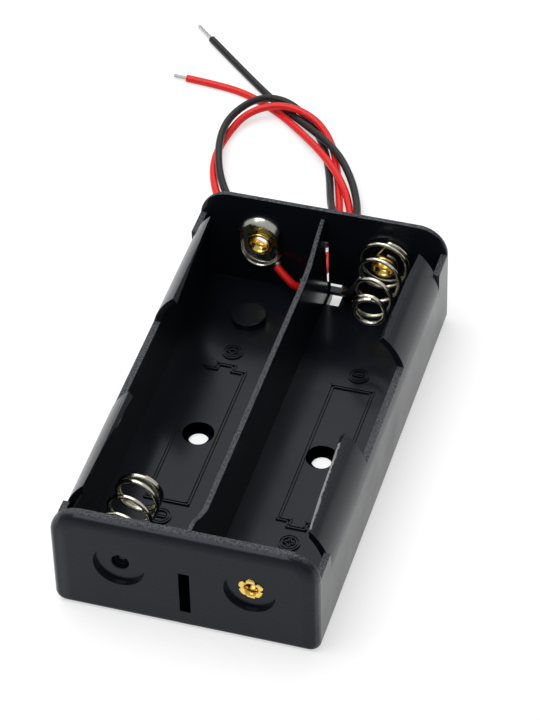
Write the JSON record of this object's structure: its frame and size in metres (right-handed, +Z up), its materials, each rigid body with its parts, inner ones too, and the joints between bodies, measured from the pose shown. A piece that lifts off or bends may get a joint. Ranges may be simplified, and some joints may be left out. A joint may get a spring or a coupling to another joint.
{
  "type": "cylindrical cell holder",
  "caption": "Moulded open tray that holds cylindrical cells side by side in snap-in bays, with coil springs, contact plates, eyelets and a pair of loose leads",
  "frame": {"origin": "centre of the tray's underside", "axes": "+X across the two bays, +Y along the cells towards the wall the leads leave by, +Z up out of the open bays"},
  "size_m": [0.0622, 0.1385, 0.0193],
  "materials": {
    "black_plastic": "satin",
    "nickel": "bright",
    "brass": "satin",
    "red_insulation": "gloss",
    "black_insulation": "gloss",
    "tinned_wire": "satin",
    "solder": "satin"
  },
  "bodies": {
    "holder": {"tray": "black_plastic", "back_plate": "nickel", "front_plate": "nickel", "back_plate_eyelet": "brass", "back_spring_eyelet": "brass", "front_plate_eyelet": "brass", "red_lead": "red_insulation", "black_lead": "black_insulation", "red_tip": "tinned_wire", "black_tip": "tinned_wire", "red_solder": "solder", "black_solder": "solder"},
    "back_coil": {"back_spring": "nickel"},
    "front_coil": {"front_spring": "nickel"}
  },
  "joints": [
    {"name": "back_spring_press", "type": "slide", "parent": "holder", "child": "back_coil", "axis": [0, 1, 0], "range_m": [0, 0.006], "stiffness_N_per_m": 100, "deforming": ["back_spring"]},
    {"name": "front_spring_press", "type": "slide", "parent": "holder", "child": "front_coil", "axis": [0, -1, 0], "range_m": [0, 0.006], "stiffness_N_per_m": 100, "deforming": ["front_spring"]}
  ]
}
